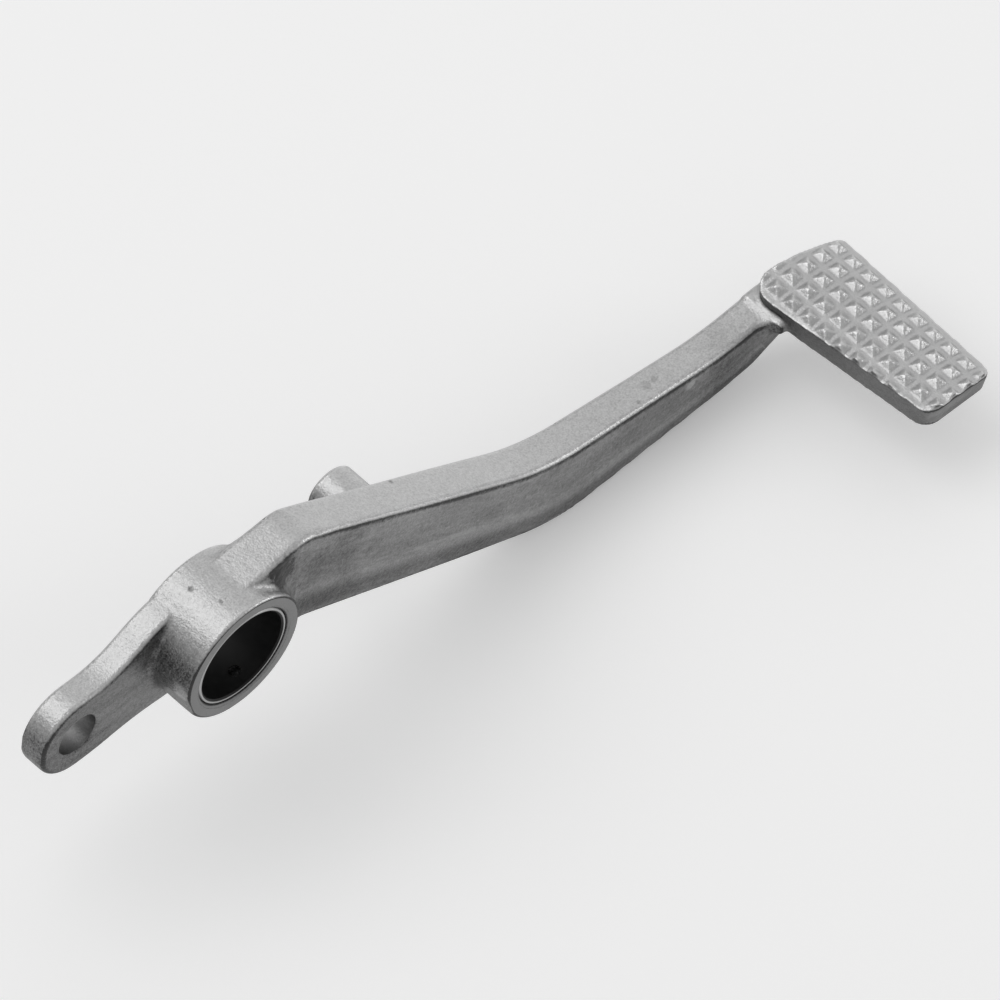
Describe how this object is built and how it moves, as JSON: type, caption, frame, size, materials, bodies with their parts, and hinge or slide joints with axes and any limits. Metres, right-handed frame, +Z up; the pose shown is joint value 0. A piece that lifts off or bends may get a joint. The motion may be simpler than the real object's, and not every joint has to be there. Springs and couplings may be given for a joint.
{
  "type": "motorcycle brake pedal",
  "caption": "Cast rear brake pedal with a bushed pivot hub, swept arm, rear rod lever and a crowned foot pad with pyramid tread.",
  "frame": {"origin": "on the pivot axis, at the middle of the hub and of the bush's bore", "axes": "+X forward along the pedal towards the foot pad, +Y along the pivot towards the machine, +Z up with the foot pad level"},
  "size_m": [0.2033, 0.0551, 0.0565],
  "materials": {
    "cast_aluminium": "fine blasted satin grain",
    "bush_steel": "satin"
  },
  "bodies": {
    "root": {"pedal_casting": "cast_aluminium", "pivot_bush": "bush_steel"}
  },
  "joints": []
}
